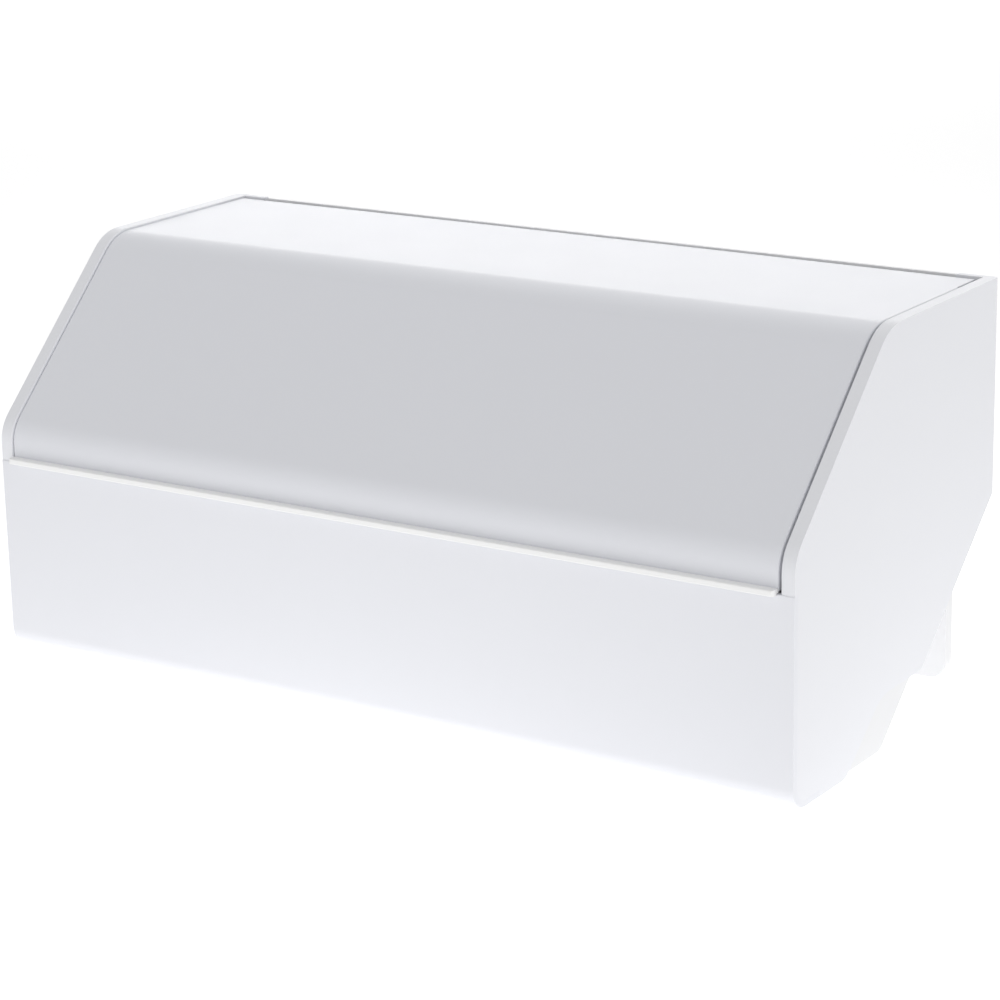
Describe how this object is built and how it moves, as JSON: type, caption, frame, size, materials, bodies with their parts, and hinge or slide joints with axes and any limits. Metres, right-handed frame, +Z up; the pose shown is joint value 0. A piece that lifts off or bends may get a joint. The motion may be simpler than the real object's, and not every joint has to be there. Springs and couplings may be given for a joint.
{
  "type": "bread box",
  "caption": "White bread box with a bent cover that lifts on a rear hinge, flat cheeks, an inner tub with a slanted floor and a rear leg panel.",
  "frame": {"origin": "middle of the outline in X and Y, on the surface that the box stands on", "axes": "+X to the box's left-to-right width as seen from the front, front towards -Y, +Z up"},
  "size_m": [0.4, 0.182, 0.18],
  "materials": {
    "shell_plastic": "satin white",
    "cover_plastic": "satin white",
    "tub_plastic": "satin white",
    "hinge_plastic": "natural white",
    "steel": "zinc plated",
    "rubber": "soft light grey"
  },
  "bodies": {
    "box_body": {"front_panel": "shell_plastic", "left_cheek": "shell_plastic", "right_cheek": "shell_plastic", "bread_tub": "tub_plastic", "rear_panel": "tub_plastic", "left_hinge_bush": "hinge_plastic", "right_hinge_bush": "hinge_plastic", "cheek_screws": "steel", "rear_screws": "steel", "base_screws": "steel", "left_lid_bumper": "rubber", "right_lid_bumper": "rubber", "front_feet": "rubber", "rear_feet": "rubber"},
    "lid": {"lid_cover": "cover_plastic", "lid_pull_lip": "cover_plastic", "left_hinge_arm": "hinge_plastic", "right_hinge_arm": "hinge_plastic", "left_hinge_pin": "steel", "right_hinge_pin": "steel", "arm_screws": "steel"}
  },
  "joints": [
    {"name": "lid_hinge", "type": "hinge", "parent": "box_body", "child": "lid", "pos_m": [0, 0.074, 0.1724], "axis": [-1, 0, 0], "range_deg": [0, 110]}
  ]
}
